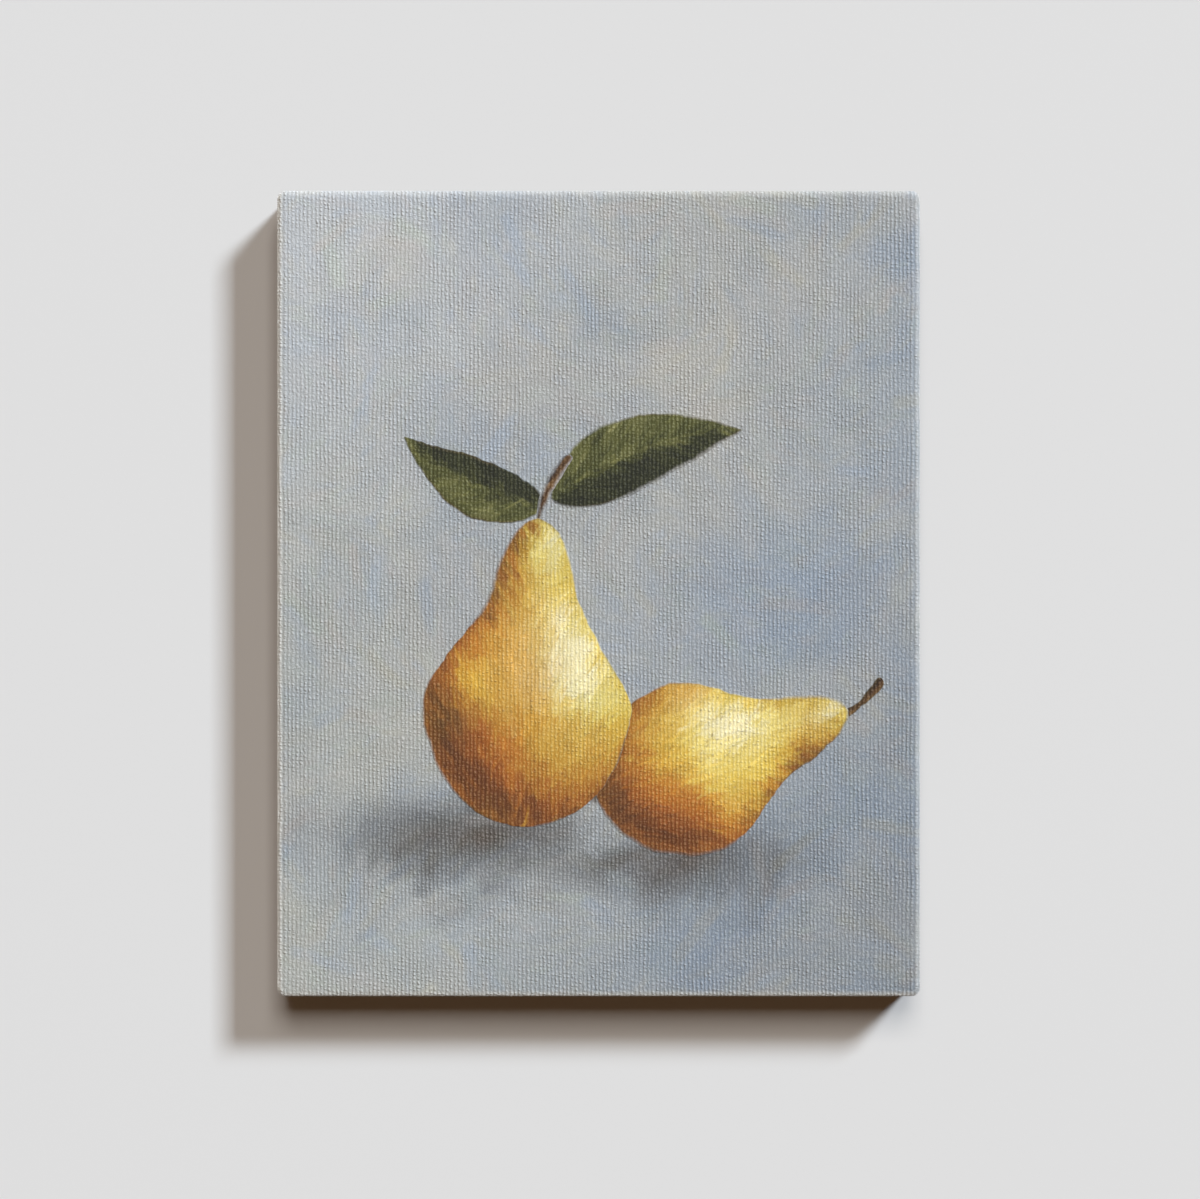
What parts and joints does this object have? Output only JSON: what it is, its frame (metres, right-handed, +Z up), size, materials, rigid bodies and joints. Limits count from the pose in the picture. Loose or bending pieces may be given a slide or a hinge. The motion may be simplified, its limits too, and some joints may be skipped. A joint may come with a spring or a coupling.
{
  "type": "stretched artist's canvas",
  "caption": "Small rectangular painter's canvas: painted cloth pulled over a keyed, mitred pine stretcher frame, folded at the corners and stapled on the back, to hang on a wall.",
  "frame": {"origin": "where the nail bears: the middle of the flat underside of the top stretcher bar", "axes": "+Z up, -Y out of the wall towards the viewer, so the painted front faces -Y, and +X to the viewer's right"},
  "size_m": [0.204, 0.0199, 0.2556],
  "materials": {
    "painted_cloth": "satin",
    "pine": "matte",
    "key_wood": "matte",
    "staple_steel": "satin"
  },
  "bodies": {
    "root": {"canvas": "painted_cloth", "stretcher_bar_top": "pine", "stretcher_bar_right": "pine", "stretcher_bar_bottom": "pine", "stretcher_bar_left": "pine", "corner_key_1": "key_wood", "corner_key_2": "key_wood", "corner_key_3": "key_wood", "corner_key_4": "key_wood", "corner_key_5": "key_wood", "corner_key_6": "key_wood", "corner_key_7": "key_wood", "corner_key_8": "key_wood", "staple_01": "staple_steel", "staple_02": "staple_steel", "staple_03": "staple_steel", "staple_04": "staple_steel", "staple_05": "staple_steel", "staple_06": "staple_steel", "staple_07": "staple_steel", "staple_08": "staple_steel", "staple_09": "staple_steel", "staple_10": "staple_steel", "staple_11": "staple_steel", "staple_12": "staple_steel", "staple_13": "staple_steel", "staple_14": "staple_steel", "staple_15": "staple_steel", "staple_16": "staple_steel", "staple_17": "staple_steel", "staple_18": "staple_steel", "staple_19": "staple_steel", "staple_20": "staple_steel", "staple_21": "staple_steel", "staple_22": "staple_steel"}
  },
  "joints": []
}
